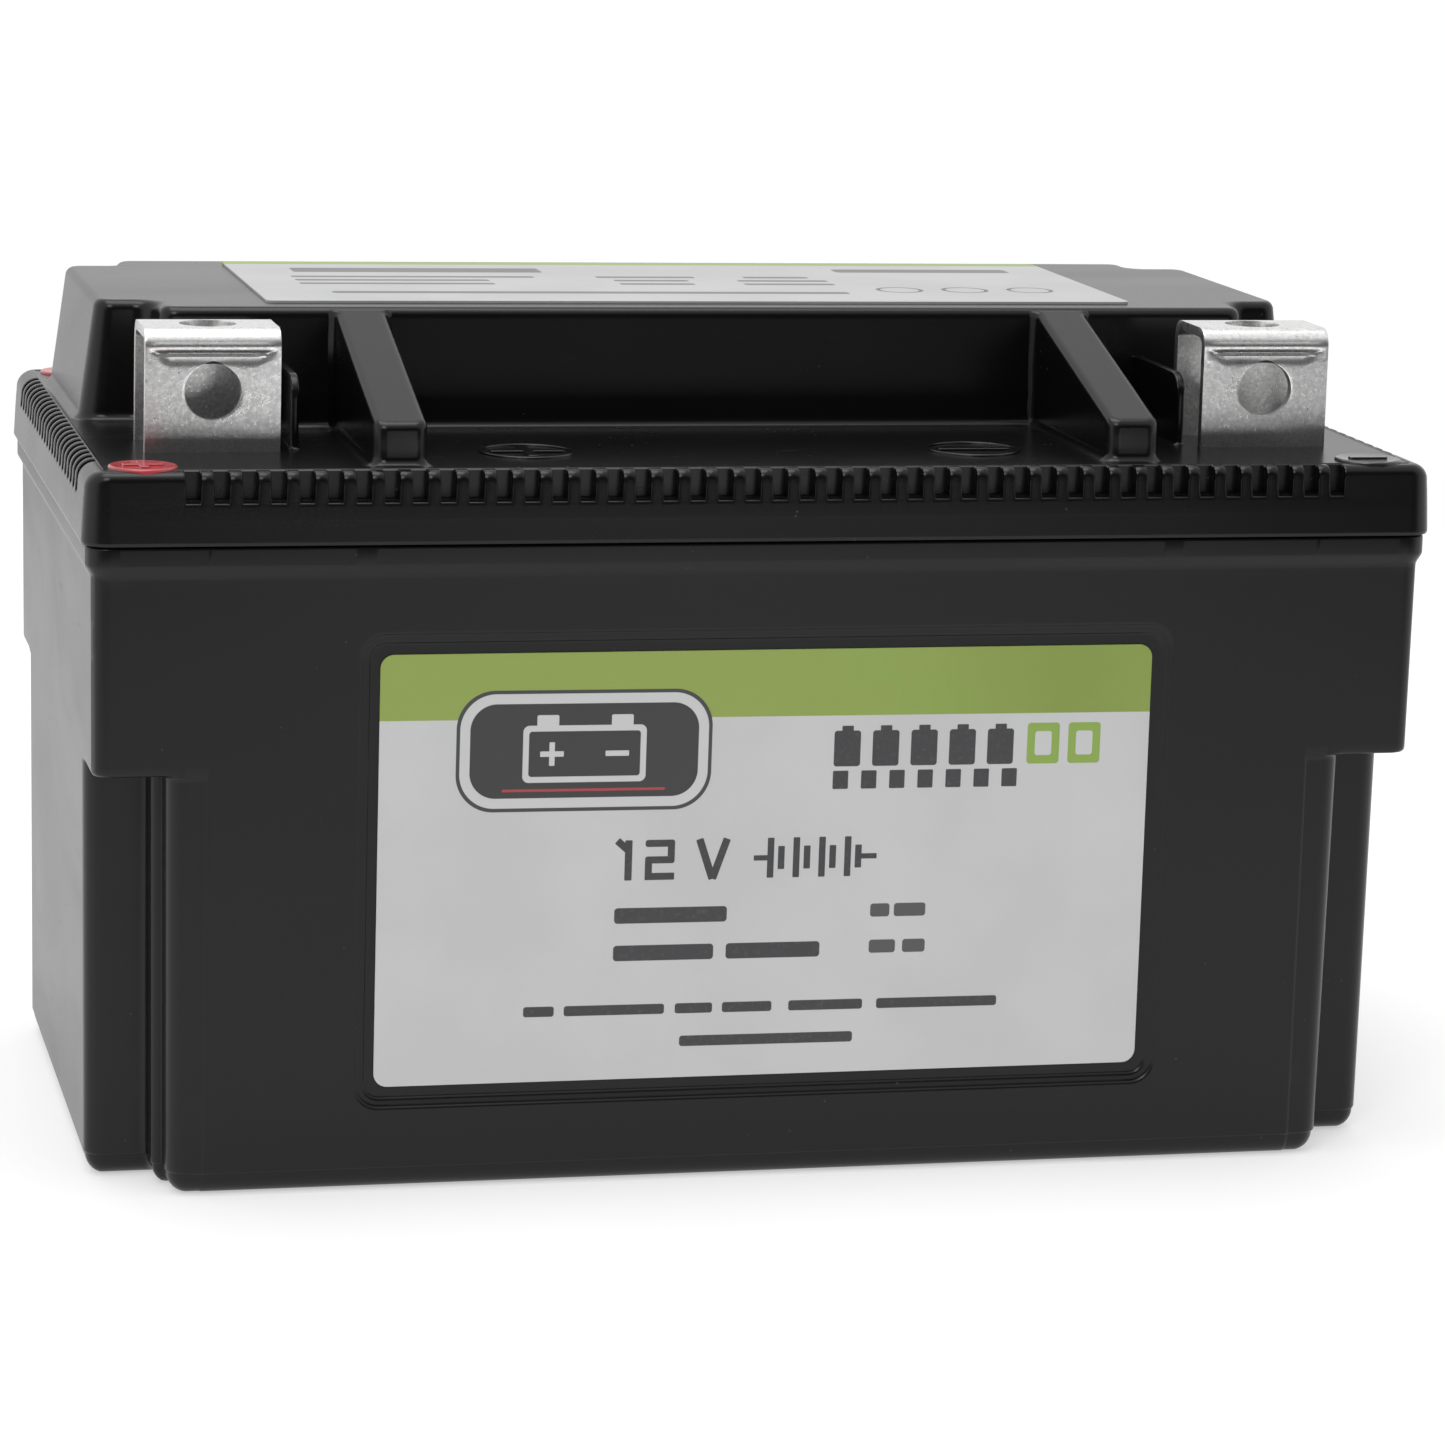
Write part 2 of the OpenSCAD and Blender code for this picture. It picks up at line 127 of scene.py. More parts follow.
def pole(outline, z, at=(0, 0)):
    """A ring shrunk to one point, which closes a cap."""
    return level(np.broadcast_to(np.asarray(at, float), outline.shape), z)


def piece(name, surface, finish, nodes=(), bend=42, wall=None, edge=None):
    """The mesh of a surface: doubles merged, faces turned outwards, creases kept above the bend angle."""
    points, faces = surface
    mesh = bpy.data.meshes.new(name)
    mesh.from_pydata((points * 0.001).tolist(), [], faces.tolist())
    bm = bmesh.new()
    bm.from_mesh(mesh)
    bmesh.ops.remove_doubles(bm, verts=bm.verts, dist=2e-6)
    bmesh.ops.dissolve_degenerate(bm, edges=bm.edges, dist=1e-7)
    bmesh.ops.recalc_face_normals(bm, faces=bm.faces)
    bm.to_mesh(mesh)
    bm.free()
    mesh.shade_smooth()
    mesh.set_sharp_from_angle(angle=math.radians(bend))
    made = bpy.data.objects.new(name, mesh)
    bpy.context.scene.collection.objects.link(made)
    if wall:
        solid = made.modifiers.new("plate", "SOLIDIFY")
        solid.thickness, solid.offset = wall * 0.001, 0
    if edge:
        bevel = made.modifiers.new("edges", "BEVEL")
        bevel.width, bevel.segments = edge * 0.001, 3
        bevel.limit_method, bevel.angle_limit = "ANGLE", math.radians(50)
    flats = made.modifiers.new("flats", "WEIGHTED_NORMAL")
    flats.keep_sharp = True
    mesh.materials.append(finish)
    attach(made, "root")
    if nodes:
        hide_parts(*nodes)


# ---------- finishes ----------

class Wire:
    """A value socket used in arithmetic: each operator adds one Math node."""

    def __init__(self, shop, socket):
        self.shop, self.socket = shop, socket

    def math(self, operation, *others, clamp=False):
        return self.shop.node("ShaderNodeMath", {"operation": operation, "use_clamp": clamp},
                              dict(enumerate((self,) + others)))

    def __add__(self, other):
        return self.math("ADD", other)

    def __sub__(self, other):
        return self.math("SUBTRACT", other)

    def __mul__(self, other):
        return self.math("MULTIPLY", other)

    def __rsub__(self, other):
        return self.shop.node("ShaderNodeMath", {"operation": "SUBTRACT"}, {0: other, 1: self})

    __radd__, __rmul__ = __add__, __mul__

    def above(self, low, high):
        """0 below low, 1 above high, smooth between."""
        return self.shop.node("ShaderNodeMapRange", {"interpolation_type": "SMOOTHSTEP"},
                              {"Value": self, "From Min": low, "From Max": high})

    def union(self, other):
        return self.math("MAXIMUM", other)


class Shop:
    """Adds nodes to one node tree."""

    def __init__(self, tree):
        self.tree = tree
        tree.nodes.clear()

    def node(self, kind, settings=None, sockets=None, out=0):
        """A node of that type: its settings first, then the values or links of its sockets."""
        made = self.tree.nodes.new(kind)
        for key, value in (settings or {}).items():
            setattr(made, key, value)
        for key, value in (sockets or {}).items():
            if isinstance(value, Wire):
                self.tree.links.new(value.socket, made.inputs[key])
            else:
                made.inputs[key].default_value = value
        return Wire(self, made.outputs[out])


class Finish(Shop):
    """A Principled material; constants go straight on the shader's own sockets."""

    def __init__(self, name, **constants):
        self.material = bpy.data.materials.new(name)
        self.material.use_nodes = True
        super().__init__(self.material.node_tree)
        self.constants = {k.replace("_", " "): v for k, v in constants.items()}
        self.place = self.node("ShaderNodeTexCoord", out="Object")

    def noise(self, size, detail=3.0, rough=0.5, warp=0.0, stretch=(1, 1, 1)):
        """Noise with features of about that many millimetres, drawn out by the stretch."""
        scale = 1000.0 / size
        scales = tuple(scale / s for s in stretch)
        at = self.node("ShaderNodeMapping", {}, {"Vector": self.place, "Scale": scales})
        return self.node("ShaderNodeTexNoise", {}, {"Vector": at, "Scale": 1.0, "Detail": detail,
                                                    "Roughness": rough, "Distortion": warp})

    def cells(self, size):
        """Distance from the nearest of many scattered points, which lie about that many millimetres apart."""
        at = self.node("ShaderNodeMapping", {}, {"Vector": self.place, "Scale": (1000.0 / size,) * 3})
        return self.node("ShaderNodeTexVoronoi", {}, {"Vector": at, "Scale": 1.0}, "Distance")

    def axes(self):
        """X, Y and Z in millimetres."""
        apart = self.node("ShaderNodeVectorMath", {"operation": "SCALE"}, {0: self.place, "Scale": 1000.0})
        split = self.tree.nodes.new("ShaderNodeSeparateXYZ")
        self.tree.links.new(apart.socket, split.inputs[0])
        return [Wire(self, s) for s in split.outputs]

    def blend(self, mask, low, high):
        """One colour where the mask is 0, the other where it is 1."""
        pair = {i: v if isinstance(v, Wire) else (*v, 1) for i, v in ((6, low), (7, high))}
        return self.node("ShaderNodeMix", {"data_type": "RGBA"}, {0: mask, **pair}, 2)

    def relief(self, height, depth):
        """Bump whose full height is that many millimetres."""
        return self.node("ShaderNodeBump", {}, {"Height": height, "Distance": depth * 0.001, "Strength": 1.0})

    def done(self, colour, roughness, normal=None, **more):
        """The finished material; a colour may be a link or a tuple of three."""
        skin = self.tree.nodes.new("ShaderNodeBsdfPrincipled")
        links = {"Base Color": colour, "Roughness": roughness, **({"Normal": normal} if normal else {}),
                 **{k.replace("_", " "): v for k, v in more.items()}}
        for key, value in {**self.constants, **links}.items():
            if isinstance(value, Wire):
                self.tree.links.new(value.socket, skin.inputs[key])
            else:
                three = isinstance(value, tuple) and len(value) == 3
                skin.inputs[key].default_value = (*value, 1) if three else value
        end = self.tree.nodes.new("ShaderNodeOutputMaterial")
        self.tree.links.new(skin.outputs[0], end.inputs[0])
        return self.material


def moulded_black(name, roughness):
    """Satin moulded plastic: fine spark-eroded grain, faint flow marks, dust specks and handling scuffs."""
    f = Finish(name, IOR=1.39)
    flow = f.noise(38, 4, 0.55, 1.2, (1.6, 1, 0.5))
    grain = f.noise(0.16, 2, 0.6)
    scuff = f.noise(3.2, 5, 0.7, 0.4, (3.2, 1, 0.35)).above(0.62, 0.8)
    dust = (1 - f.cells(1.7).above(0.05, 0.09)) * f.noise(11, 2).above(0.56, 0.66)
    tone = f.blend(flow, (0.0022, 0.0022, 0.0023), (0.0036, 0.0036, 0.0038))
    tone = f.blend(scuff * 0.35, tone, (0.009, 0.009, 0.0094))
    tone = f.blend(dust * 0.6, tone, (0.07, 0.07, 0.072))
    rough = roughness + 0.1 * (flow - 0.5) + 0.1 * scuff + 0.06 * (grain - 0.5) + dust * 0.3
    return f.done(tone, rough, f.relief(grain + 0.7 * flow, 0.006))


def tinned(name):
    """Matt tin over brass: crystalline speckle, a rolled grain along the strip and a few bright rubs."""
    f = Finish(name, Metallic=1.0)
    speckle = f.noise(0.42, 3, 0.7)
    crystal = f.cells(0.8)
    rolled = f.noise(1.1, 4, 0.6, 0.0, (0.35, 1, 5))
    rub = f.noise(4.5, 3, 0.6, 0.8).above(0.55, 0.75)
    dent = 1 - f.cells(1.9).above(0.04, 0.09)
    tone = f.blend(speckle.above(0.34, 0.62), (0.7, 0.7, 0.695), (0.95, 0.95, 0.945))
    tone = f.blend(crystal.above(0.1, 0.7) * 0.3, tone, (0.7, 0.7, 0.695))
    tone = f.blend(dent * 0.6, tone, (0.3, 0.3, 0.3))
    rough = 0.19 + 0.16 * (1 - speckle) + 0.05 * rolled - 0.05 * rub
    return f.done(tone, rough, f.relief(speckle + 0.4 * rolled - 0.4 * dent, 0.012))


def plain(name, low, high, roughness, size=1.0, depth=0.01, metal=0.0, stretch=(1, 1, 1), **constants):
    """Two close tones over a grain of that size, with matching roughness and relief."""
    f = Finish(name, Metallic=metal, **constants)
    grain = f.noise(size, 4, 0.6, 0.3, stretch)
    broad = f.noise(size * 9, 3, 0.5)
    return f.done(f.blend((grain * 0.6 + broad * 0.4).above(0.3, 0.7), low, high),
                  roughness + 0.14 * (grain - 0.5), f.relief(grain, depth))


class Print(Finish):
    """Flat printing: each shape is the distance to a rounded bar, cut at the bar's edge and softened over
    self.edge millimetres. Across and up each give an axis and the place of the label's middle on it."""
    SHARP = 0.05

    def __init__(self, name, across, up, turn=0.0):
        super().__init__(name)
        x, y, z = self.axes()
        v = {"x": x, "y": y, "z": z}
        px, pz = v[across[0]] - across[1], v[up[0]] - up[1]
        flat = self.node("ShaderNodeCombineXYZ", {}, {0: px, 1: pz, 2: 0.0})
        self.flat = self.turned(flat, turn)
        self.edge = self.SHARP

    def turned(self, vector, angle):
        sockets = {"Vector": vector, "Angle": angle}
        return self.node("ShaderNodeVectorRotate", {"rotation_type": "Z_AXIS"}, sockets)

    def vector(self, operation, *values, out=0):
        return self.node("ShaderNodeVectorMath", {"operation": operation}, dict(enumerate(values)), out)

    def bar(self, cx, cz, w, h, r=0.25, turn=0.0):
        """1 inside a bar of that middle, width and height: length of max(|p - c| - half + r, 0) less r."""
        at = self.vector("SUBTRACT", self.flat, (cx, cz, 0))
        if turn:
            at = self.turned(at, turn)
        at = self.vector("ABSOLUTE", at)
        at = self.vector("SUBTRACT", at, (w / 2 - r, h / 2 - r, 0))
        at = self.vector("MAXIMUM", at, (0, 0, 0))
        away = self.vector("LENGTH", at, out="Value")
        return (away * (-1 / self.edge) + (r / self.edge + 0.5)).math("ADD", 0.0, clamp=True)

    def all_of(self, bars):
        """1 inside any of the bars."""
        mask = None
        for b in bars:
            one = self.bar(*b)
            mask = one if mask is None else mask.union(one)
        return mask


def front_print():
    """Label of the front: green head over light grey, a badge with a battery sign, bars in place of wording."""
    low, high = sides("front_label")
    mid = (low + high) / 2
    f = Print("front label print", ("x", mid[0]), ("z", mid[2]), 0.0045)
    half_w, half_h = (high[0] - low[0]) / 2, (high[2] - low[2]) / 2
    # the head is 7.4 high and runs past the label's border on three sides
    band, over = half_h - 3.7, 5
    head = f.bar(0, band + over, 2 * half_w + 8, 7.4 + 2 * over, 0.05)
    cloud = f.noise(9, 4, 0.6, 0.6)
    f.edge = 7.0
    blot = f.bar(15, band, 13, 3, 1, 0.5)
    patch = blot * f.noise(2.2, 4, 0.7, 0.5, (0.5, 1, 2.5)).above(0.35, 0.65)
    f.edge = 40.0
    rightward = f.bar(34, band, 6, 30, 1)
    f.edge = f.SHARP
    fade = (rightward + cloud * 0.3).above(0.05, 0.95)
    green = f.blend(fade, (0.28, 0.37, 0.078), (0.22, 0.305, 0.05))
    green = f.blend(patch * 0.6, green, (0.24, 0.41, 0.075))
    ground = f.blend(f.noise(16, 3).above(0.3, 0.7), (0.56, 0.56, 0.565), (0.60, 0.60, 0.605))
    tone = f.blend(head, ground, green)
    # badge: three nested plates, then a battery outline with a plus and a minus over a thin red line
    pale = (0.6, 0.6, 0.605)
    bx, bz = -20.7, 12.95
    cz = bz - 0.35
    outer = f.bar(bx, bz, 28.2, 13.4, 4.2)
    ring = f.bar(bx, bz, 27.4, 12.6, 3.9)
    inner = f.bar(bx, bz, 25.2, 10.4, 2.9)
    tone = f.blend(outer, tone, (0.05, 0.05, 0.052))
    tone = f.blend(ring, tone, pale)
    tone = f.blend(inner, tone, (0.038, 0.038, 0.04))
    battery = f.all_of([(bx, cz, 13.6, 6.3, 0.7), (bx - 4.1, bz + 3.2, 2.4, 1.5, 0.2),
                        (bx + 4.1, bz + 3.2, 2.4, 1.5, 0.2)])
    hollow = f.bar(bx, cz, 12.3, 5.0, 0.35)
    marks = f.all_of([(bx - 3.6, cz, 2.6, 0.6, 0.1), (bx - 3.6, cz, 0.6, 2.6, 0.1),
                      (bx + 3.6, cz, 2.6, 0.6, 0.1)])
    tone = f.blend((battery - hollow).union(marks), tone, pale)
    tone = f.blend(f.bar(bx, bz - 4.35, 18, 0.28, 0.1), tone, (0.42, 0.05, 0.06))
    # five upright cells with their caps, over a spaced row
    cell_x = [8.6 + 4.35 * i for i in range(5)]
    cells = [(x, 12.75, 3.0, 4.0, 0.35) for x in cell_x] + [(x, 14.95, 1.3, 0.7, 0.1) for x in cell_x]
    spaced = [(7.95 + 3.2 * i, 9.25, 1.75, 2.05, 0.15) for i in range(7)]
    # the rating and the sign for four cells in a row, on one line
    mz = 0.65
    one = [(-15.5, mz, 0.82, 4.5, 0.12), (-16.15, 2.3, 0.82, 1.7, 0.1, -0.85)]
    two = [(-12.0, 2.5, 3.3, 0.8, 0.3), (-10.75, 1.6, 0.8, 2.6, 0.3), (-12.0, mz, 3.3, 0.8, 0.3),
           (-13.25, -0.3, 0.8, 2.6, 0.3), (-12.0, -1.2, 3.3, 0.8, 0.1)]
    vee = [(-6.85, mz, 0.85, 4.75, 0.12, -0.33), (-5.3, mz, 0.85, 4.75, 0.12, 0.33)]
    pack = [(x, mz, 0.75, h, 0.1) for i in range(4) for x, h in ((0.4 + 2.9 * i, 4.5), (1.6 + 2.9 * i, 2.6))]
    pack += [(-0.7, mz, 1.6, 0.6, 0.1), (11.5, mz, 1.8, 0.6, 0.1)]
    # two rows of captions with paler values, then two lines of wording
    rows = [(-10.6, -5.55, 12.6, 1.75, 0.4), (-11.3, -9.75, 11.2, 1.75, 0.4), (1.0, -9.75, 10.6, 1.75, 0.4)]
    values = [(x, z, w, 1.5, 0.35) for x, z, w in ((13.0, -5.5, 2.2), (16.4, -5.5, 3.6),
                                                   (13.4, -9.6, 3.0), (17.0, -9.6, 2.6))]
    line = [(x, -16.1, w, 1.15, 0.3) for x, w in ((-25.0, 3.4), (-16.6, 11.2), (-7.7, 4.2), (-1.7, 5.6),
                                                  (7.2, 8.4), (19.9, 13.8))]
    line += [(0.6, -19.8, 19.6, 1.2, 0.35)]
    dark = f.all_of(cells + spaced + one + two + vee + pack + rows + line)
    ink = f.noise(0.5, 2).above(0.1, 0.5)
    tone = f.blend(dark * (0.93 + 0.07 * ink), tone, (0.042, 0.042, 0.045))
    tone = f.blend(f.all_of(values), tone, (0.085, 0.085, 0.09))
    # two green cells drawn as outlines
    lime = (f.all_of([(x, 13.05, 3.7, 4.6, 0.4) for x in (30.9, 35.6)])
            - f.all_of([(x, 13.05, 1.9, 2.7, 0.3) for x in (30.9, 35.6)]))
    tone = f.blend(lime, tone, (0.262, 0.40, 0.075))
    film = f.noise(22, 3, 0.5, 0.5)
    rough = 0.36 + 0.08 * (film - 0.5) + 0.06 * patch
    return f.done(tone, rough, f.relief(film + 0.15 * f.noise(0.4, 2), 0.012))


def top_print():
    """Label of the raised block: light grey film, thin green line along the rear edge and faint captions."""
    low, high = sides("top_label")
    mid = (low + high) / 2
    f = Print("top label print", ("x", mid[0]), ("y", mid[1]), 0.0)
    d = (high[1] - low[1]) / 2
    ground = f.blend(f.noise(16, 3).above(0.3, 0.7), (0.4, 0.4, 0.405), (0.44, 0.44, 0.445))
    tone = f.blend(f.bar(0, d, 120, 5.4, 0.05), ground, (0.235, 0.345, 0.082))
    captions = [(-28.5, 11.5, 30, 4.6, 0.5)]
    captions += [(x, y, w, 1.7, 0.4) for x, y, w in ((-30, 4.4, 29), (-2.0, 4.4, 12), (14, 4.4, 8),
                                                     (-33, 0.8, 23), (-2.0, 0.8, 9), (14, 0.8, 11),
                                                     (-33, -2.8, 23), (-2.0, -2.8, 9), (14, -2.8, 11))]
    captions += [(-11.5, -11.8, 61, 2.1, 0.5), (34, 12, 22, 3.6, 0.8)]
    tone = f.blend(f.all_of(captions) * 0.8, tone, (0.06, 0.06, 0.064))
    round_signs = (f.all_of([(26 + 8 * i, -8.5, 5.6, 5.6, 2.75) for i in range(3)])
                   - f.all_of([(26 + 8 * i, -8.5, 4.6, 4.6, 2.25) for i in range(3)]))
    tone = f.blend(round_signs, tone, (0.075, 0.075, 0.08))
    film = f.noise(22, 3, 0.5, 0.5)
    return f.done(tone, 0.4 + 0.08 * (film - 0.5), f.relief(film, 0.012))


black_case = moulded_black("satin black case", 0.3)
black_lid = moulded_black("satin black lid", 0.25)
tin = tinned("matt tin plate")

# ---------- container ----------

def wall_in(z):
    """The drafted wall's distance in from the skirt."""
    return 1.06 + (SEAM - z) * 0.0089


# label recess: half width, half height, height of its middle, corner radius; grid lines round its border
RECESS_X, RECESS_Z, RECESS_MID, RECESS_R = 45.2, 26.1, 35.4, 2.7
NEAR = np.array([-3, -2.5, -2, -1.6, -1.3, -1.12, -1.02, -0.92, -0.82, -0.6, -0.35, -0.12, -0.03,
                 0.04, 0.12, 0.22, 0.32, 0.42, 0.6, 0.9, 1.3, 1.8, 2.4, 3.2, 4.1, 5])
# two steps down into the recess: place across the border, depth there
STEP_AT = [-1.12, -1.02, -0.92, -0.82, -0.12, -0.03, 0.04, 0.12, 0.22, 0.32]
STEP_DEEP = [0.52, 0.49, 0.36, 0.3, 0.24, 0.19, 0.11, 0.04, 0.01, 0]
# stepped corner below the ledge, from the front face round to the end face: distances in from the skirt's
# corner, the radius at each place, which is below 0 at an inward corner, and its share of the edge beside it
NOTCH = [(7.9, 0), (7.9, 4.45), (6.7, 4.45), (6.7, 8.9), (0, 8.9)]
NOTCH_R = [4.1, -1.1, 3.0, -0.6, 3.7]
NOTCH_SHARE = [0.49, 0.2, 0.78, 0.2, 0.49]
BASE = 2.42                                # top of the case's floor inside
TUCK = 0.2                                 # the lowest edge's distance in from the wall
RIM_GAP = 0.02                             # between the case's top and the joint


def container():
    """Drafted walls carried round the stepped plan below the ledge and round the full rectangle above it.
    A point keeps its |x| - |y| across the ledge, so that it moves along the corner's diagonal."""
    quarter = [(HX - dx, -HY + dy) for dx, dy in NOTCH]
    right = np.array(quarter + [(x, -y) for x, y in quarter[::-1]])
    plan = np.concatenate([right, -right])
    radius = np.tile(NOTCH_R + NOTCH_R[::-1], 2)
    share = np.tile(NOTCH_SHARE + NOTCH_SHARE[::-1], 2)
    strip = [53.5, 57.5, 60.6, 61.3, 61.5, 61.65, 61.8, 63.5, 65.0]
    half = np.concatenate([np.linspace(0, 41, 6), RECESS_X + NEAR, strip])
    front = np.concatenate([-half[::-1], half[1:]])
    stations = [np.linspace(-1.6, 1.6, 5), [], np.linspace(-1.8, 1.8, 8), np.linspace(-2.8, 2.8, 9),
                np.linspace(-30, 30, 13)]
    stations += [stations[3], stations[2], [], stations[0], front]
    stations = [np.asarray(s, float) for s in stations * 2]

    def stepped(inset):
        return rounded(plan, radius, inset, stations, share)

    def full(inset):
        """The full rectangle, each point on the diagonal through its place in the stepped plan."""
        a = stepped(inset)
        x, y = np.abs(a[:, 0]), np.abs(a[:, 1])
        s, ex, ey, r = x - y, HX - inset, HY - inset, CORNER - min(inset, 2.5)
        cx, cy = ex - r, ey - r
        turn = np.pi / 4 + np.arcsin(np.clip((s - cx + cy) / (r * math.sqrt(2)), -1, 1))
        bx = np.where(s < cx - ey, s + ey, np.where(s > ex - cy, ex, cx + r * np.sin(turn)))
        by = np.where(s < cx - ey, ey, np.where(s > ex - cy, ex - s, cy + r * np.cos(turn)))
        return np.column_stack([np.sign(a[:, 0]) * bx, np.sign(a[:, 1]) * by])

    # underside, rounded bottom edge and lower wall
    bottom = stepped(wall_in(0) + TUCK + FOOT)
    rings = [pole(bottom, 0)] + [level(bottom * part, 0) for part in (0.25, 0.6, 0.9)]
    rings.append(level(stepped(wall_in(0) + 1.0 + FOOT), 0))
    for a in np.linspace(0, np.pi / 2, 9):
        z = FOOT * (1 - math.cos(a))
        rings.append(level(stepped(wall_in(z) + TUCK + FOOT * (1 - math.sin(a))), z))
    for rise, i in ((0.15, 0.18), (0.25, 0.06), (0.4, 0.0)):
        rings.append(level(stepped(wall_in(FOOT + rise) + i), FOOT + rise))
    low = RECESS_MID - RECESS_Z - NEAR[::-1]
    for z in [3.6, *low[low > 4.2], 20, 30, 40, 44.5, 45.7, 46.0]:
        rings.append(level(stepped(wall_in(z)), z))
    # ledge: from the stepped plan out to the full one, hollow at its inner edge and rounded at its outer edge
    a, b = stepped(wall_in(LEDGE)), full(wall_in(LEDGE))
    gap = np.linalg.norm(b - a, axis=1)
    deep = np.clip(gap / 1.2, 0, 1)
    safe = np.maximum(gap, 1e-6)
    for away, rise in [(0.0, -0.4), (0.06, -0.2), (0.2, -0.06), (0.4, 0.0)]:
        rings.append(level(a + (b - a) * np.minimum(away / safe, 0.4)[:, None], LEDGE + rise * deep))
    for away, rise in [(0.9, 0.0), (0.6, 0.0), (0.3, 0.08), (0.08, 0.3), (0.0, 0.6)]:
        rings.append(level(b + (a - b) * np.minimum(away / safe, 0.4)[:, None], LEDGE + rise * deep))
    # upper wall, then the collar under the joint
    for z in [47.5, 50, 54, *(RECESS_MID + RECESS_Z + NEAR)]:
        rings.append(level(full(wall_in(z)), z))
    top = SEAM - RIM_GAP
    for z, inset in [(67.6, wall_in(67.6)), (67.95, wall_in(68) - 0.02), (68.2, wall_in(68) - 0.12),
                     (68.9, 0.56), (69.1, 0.47), (69.3, 0.45), (70.9, 0.45), (71.1, 0.5),
                     (top, 0.75), (top, 3.2)]:
        rings.append(level(full(inset), z))
    outer = np.array(rings)

    # label recess on the front and on the rear: grid lines near its border become rounded rectangles
    x, y, z = outer[..., 0], outer[..., 1], outer[..., 2]
    face = (np.abs(y) > HY - 2.2) & (np.abs(x) < RECESS_X + 5.01) & (z > 4.2) & (z < 66.7)
    px, pz = np.abs(x), np.abs(z - RECESS_MID)
    d = np.maximum(px - RECESS_X, pz - RECESS_Z)
    r = np.maximum(RECESS_R + d, 0) * np.clip(1 - d / 5, 0, 1)
    r = np.where(face, r, 0)
    ax, az = RECESS_X + d, RECESS_Z + d
    upright = px - RECESS_X >= pz - RECESS_Z
    u = np.where(upright, az - pz, ax - px)
    turn = np.pi / 4 * (1 - np.clip(u / np.maximum(r, 1e-9), 0, 1))
    turn = np.where(upright, turn, np.pi / 2 - turn)
    bent = (u < r) & (r > 1e-6)
    nx = np.where(bent, ax - r + r * np.cos(turn), px) * np.sign(x)
    nz = np.where(bent, az - r + r * np.sin(turn), pz) * np.where(z < RECESS_MID, -1, 1) + RECESS_MID
    ny = np.sign(y) * (HY - wall_in(nz) - np.interp(d, STEP_AT, STEP_DEEP))
    x[...], z[...] = np.where(face, nx, x), np.where(face, nz, z)
    y[...] = np.where(face, ny, y)
    # strips beside the corner notches stand back a little
    beside = np.clip((np.abs(x) - 61.45) / 0.3, 0, 1)
    below = np.clip((LEDGE - 0.05 - z) / 0.35, 0, 1)
    y[...] -= np.sign(y) * (beside * below * (np.abs(y) > HY - 4.4) * 0.22)

    inner = [level(full(3.3), top)] + [level(full(wall_in(h) + WALL), h) for h in (SEAM - 1.2, 60, 48.6)]
    inner += [level(stepped(wall_in(h) + WALL), h) for h in (48.59, 30, BASE)]
    inner += [pole(bottom, BASE)]
    return loft(np.concatenate([outer, np.array(inner)]))


piece("case_body", container(), black_case, ["container"])

# ---------- lid ----------

# comb: from slot to slot, depth of a slot, height of its floor, and the lip's distance in from the skirt
PITCH, CUT, COMB_FLOOR, LIP = 3.02, 2.1, DECK - 3.3, 2.54


def comb_lines(count):
    """Places of the grid lines beside each slot, whether a line is cut, and how far its corner is rounded."""
    slot = (np.arange(count) - (count - 1) / 2) * PITCH
    table = np.array([(-1.1, 0, 0), (-0.89, 0, 0.09), (-0.8, 0, 0.3), (-0.8, 1, 0),
                      (0.8, 1, 0), (0.8, 0, 0.3), (0.89, 0, 0.09), (1.1, 0, 0)])
    at = (slot[:, None] + table[None, :, 0]).ravel()
    return at, np.tile(table[:, 1], count), np.tile(table[:, 2], count)


